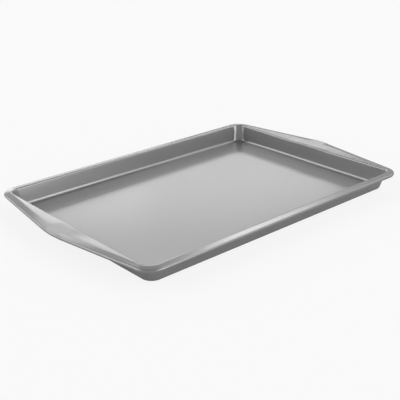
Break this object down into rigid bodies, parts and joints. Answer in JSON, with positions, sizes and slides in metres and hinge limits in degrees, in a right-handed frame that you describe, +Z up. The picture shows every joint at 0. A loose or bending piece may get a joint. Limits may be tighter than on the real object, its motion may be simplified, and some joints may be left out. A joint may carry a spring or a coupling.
{
  "type": "cookie sheet",
  "caption": "Shallow rectangular baking tray pressed from grey nonstick steel, with leaning walls, a wired bead round its rim and a wide flat grip at each short end.",
  "frame": {"origin": "bottom centre of the bounding box, where the tray rests on the table", "axes": "+Z up out of the tray, X along its length from handle to handle, Y across it"},
  "size_m": [0.438, 0.292, 0.0232],
  "materials": {
    "nonstick_steel": "satin grey nonstick coating baked on sheet steel",
    "zinc_wire": "dull galvanised wire"
  },
  "bodies": {
    "root": {"pressed_tray": "nonstick_steel", "rim_wire": "zinc_wire"}
  },
  "joints": []
}
